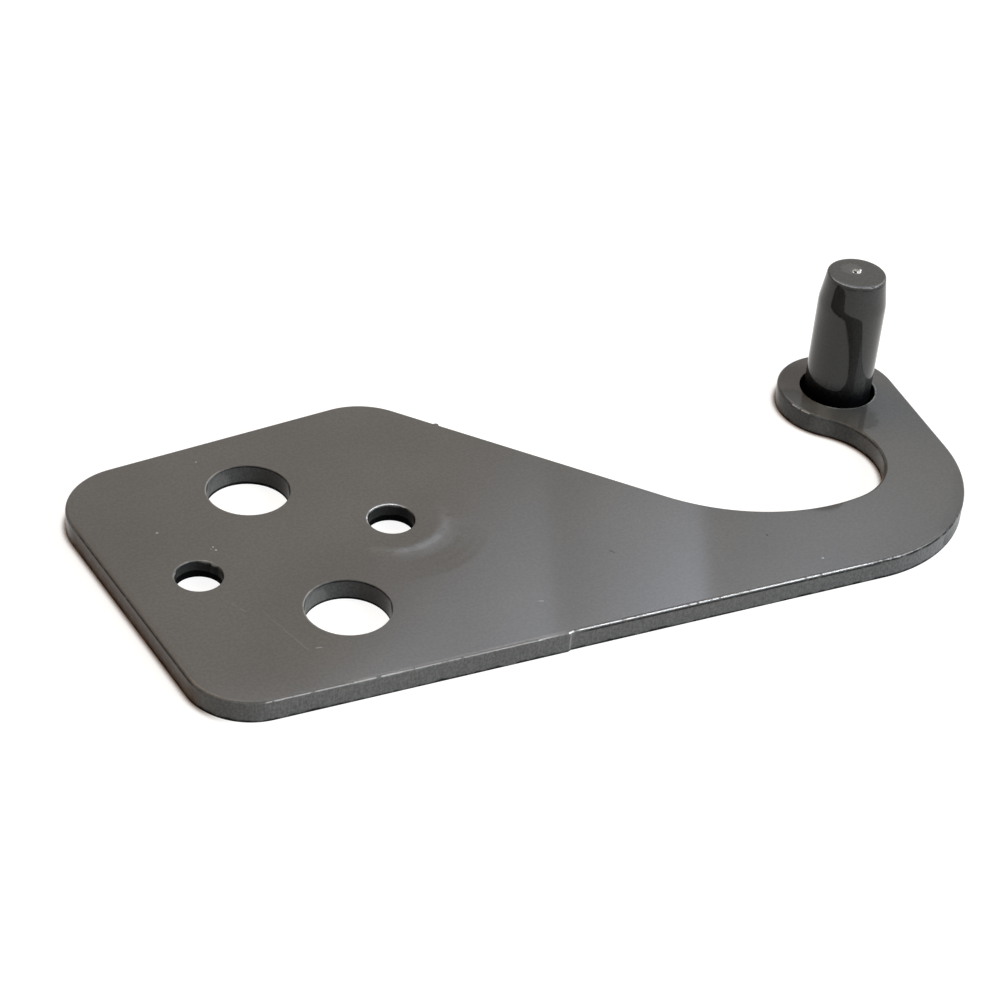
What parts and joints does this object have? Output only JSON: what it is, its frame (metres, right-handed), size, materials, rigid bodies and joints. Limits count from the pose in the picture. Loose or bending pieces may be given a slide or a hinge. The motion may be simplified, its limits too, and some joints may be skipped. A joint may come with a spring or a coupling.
{
  "type": "refrigerator door hinge",
  "caption": "Flat steel hinge plate with a fixing flange, a tapering arm, a rounded hook and an upright door pin with a tapered top.",
  "frame": {"origin": "centre of the four-hole fixing pattern, on the underside of the plate", "axes": "+Z out of the plate along the door pin, +X from the fixing pattern to the pin, the hook's outer corner on the -Y side"},
  "size_m": [0.117, 0.061, 0.0216],
  "materials": {
    "plate_paint": "gloss",
    "pin_paint": "gloss"
  },
  "bodies": {
    "root": {"hinge_plate": "plate_paint", "hinge_pin": "pin_paint"}
  },
  "joints": []
}
